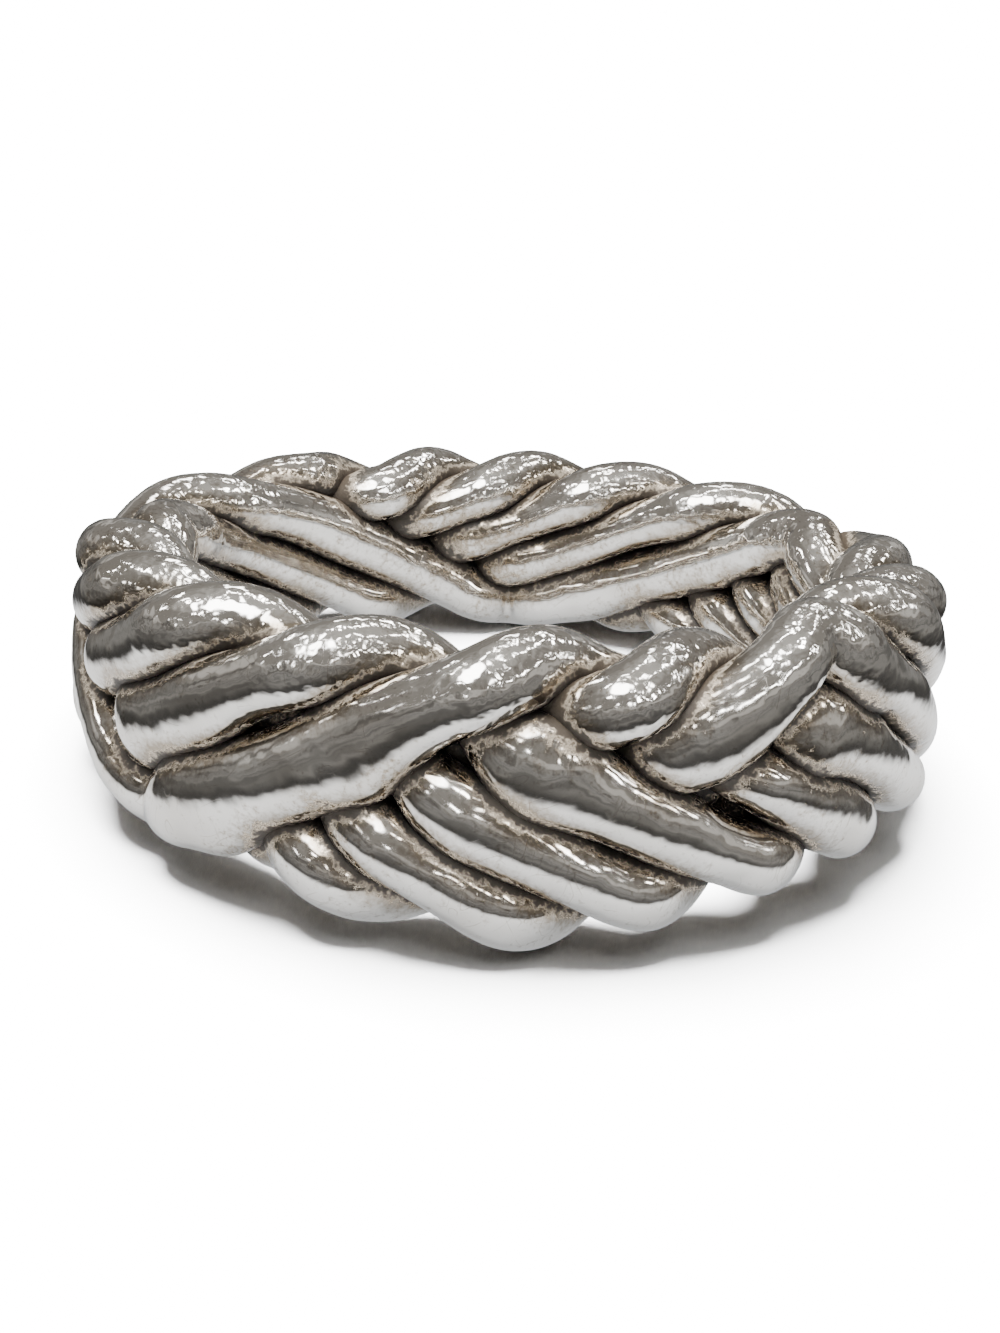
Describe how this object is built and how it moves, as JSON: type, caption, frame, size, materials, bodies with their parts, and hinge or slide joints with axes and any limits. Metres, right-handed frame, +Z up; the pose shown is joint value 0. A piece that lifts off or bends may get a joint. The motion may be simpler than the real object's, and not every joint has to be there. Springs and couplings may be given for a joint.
{
  "type": "braided band finger ring",
  "caption": "Silver finger ring made as a thick open plait of round strands, taller and thicker at the front than at the back.",
  "frame": {"origin": "Centre of the band's outline, on the surface that its lower edge lies on.", "axes": "+Z runs up along the axis of the finger hole. The tall front of the plait faces -Y and its low back faces +Y. +X points to the right as the front is seen."},
  "size_m": [0.024, 0.024, 0.0088],
  "materials": {
    "silver": "worn polished sterling silver, darkened between the strands"
  },
  "bodies": {
    "root": {"strand_1": "silver", "strand_2": "silver", "strand_3": "silver", "strand_4": "silver", "strand_5": "silver", "strand_6": "silver"}
  },
  "joints": []
}
